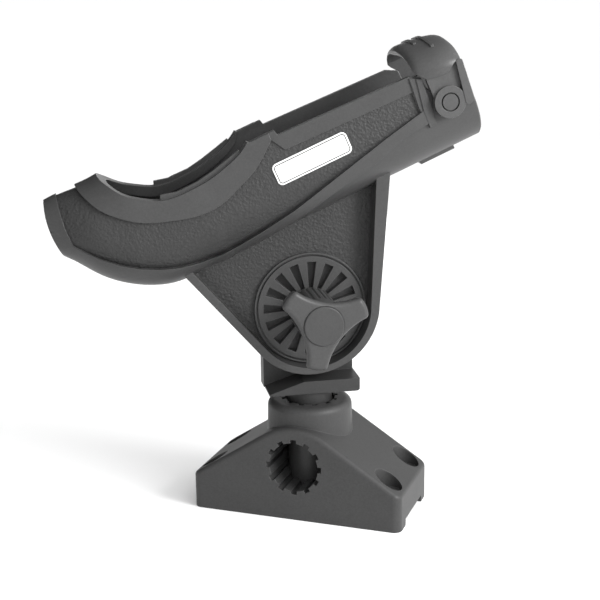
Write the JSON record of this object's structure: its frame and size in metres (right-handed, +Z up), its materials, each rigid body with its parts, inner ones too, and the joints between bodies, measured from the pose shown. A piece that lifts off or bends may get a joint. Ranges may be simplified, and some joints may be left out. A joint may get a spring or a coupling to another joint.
{
  "type": "fishing rod holder",
  "caption": "Adjustable fishing rod holder: slotted barrel with reel cradle and flip-over lock ring, clamped by a lobed knob to a splined post in a wedge-shaped screw-down deck mount.",
  "frame": {"origin": "centre of the base's underside, on the post's axis", "axes": "+X along the base's length, +Y from the base's front face (the one with the level socket) to its back, +Z up along the post; the holder at rest is turned one spline tooth (30 degrees) about +Z"},
  "size_m": [0.1913, 0.1335, 0.2321],
  "materials": {
    "black_nylon": "moulded glass-filled nylon, fine grain",
    "knob_nylon": "smooth moulded nylon",
    "badge_white": "printed badge plate with a dark border, no text",
    "stainless": "stainless steel",
    "pin_plastic": "smooth acetal"
  },
  "bodies": {
    "base": {"base_mount": "black_nylon"},
    "post": {"post_bracket": "black_nylon", "clamp_bolt": "stainless", "clamp_washer": "stainless"},
    "holder": {"holder_body": "black_nylon", "badge_plate": "badge_white", "ring_pin_near": "pin_plastic", "ring_pin_far": "pin_plastic"},
    "ring": {"lock_ring": "black_nylon"},
    "knob": {"clamp_knob": "knob_nylon", "clamp_nut": "stainless", "knob_cap": "knob_nylon"}
  },
  "joints": [
    {"name": "post_swivel", "type": "hinge", "parent": "base", "child": "post", "pos_m": [0, 0, 0.05], "axis": [0, 0, 1], "continuous": true},
    {"name": "holder_tilt", "type": "hinge", "parent": "post", "child": "holder", "pos_m": [0, 0, 0.103], "axis": [0.5, -0.866, 0], "range_deg": [-67.5, 45]},
    {"name": "ring_flip", "type": "hinge", "parent": "holder", "child": "ring", "pos_m": [0.05409, 0.03123, 0.20311], "axis": [-0.5, 0.866, 0], "range_deg": [0, 110]},
    {"name": "knob_turn", "type": "hinge", "parent": "post", "child": "knob", "pos_m": [0.015, -0.02598, 0.103], "axis": [0.5, -0.866, 0], "continuous": true}
  ]
}
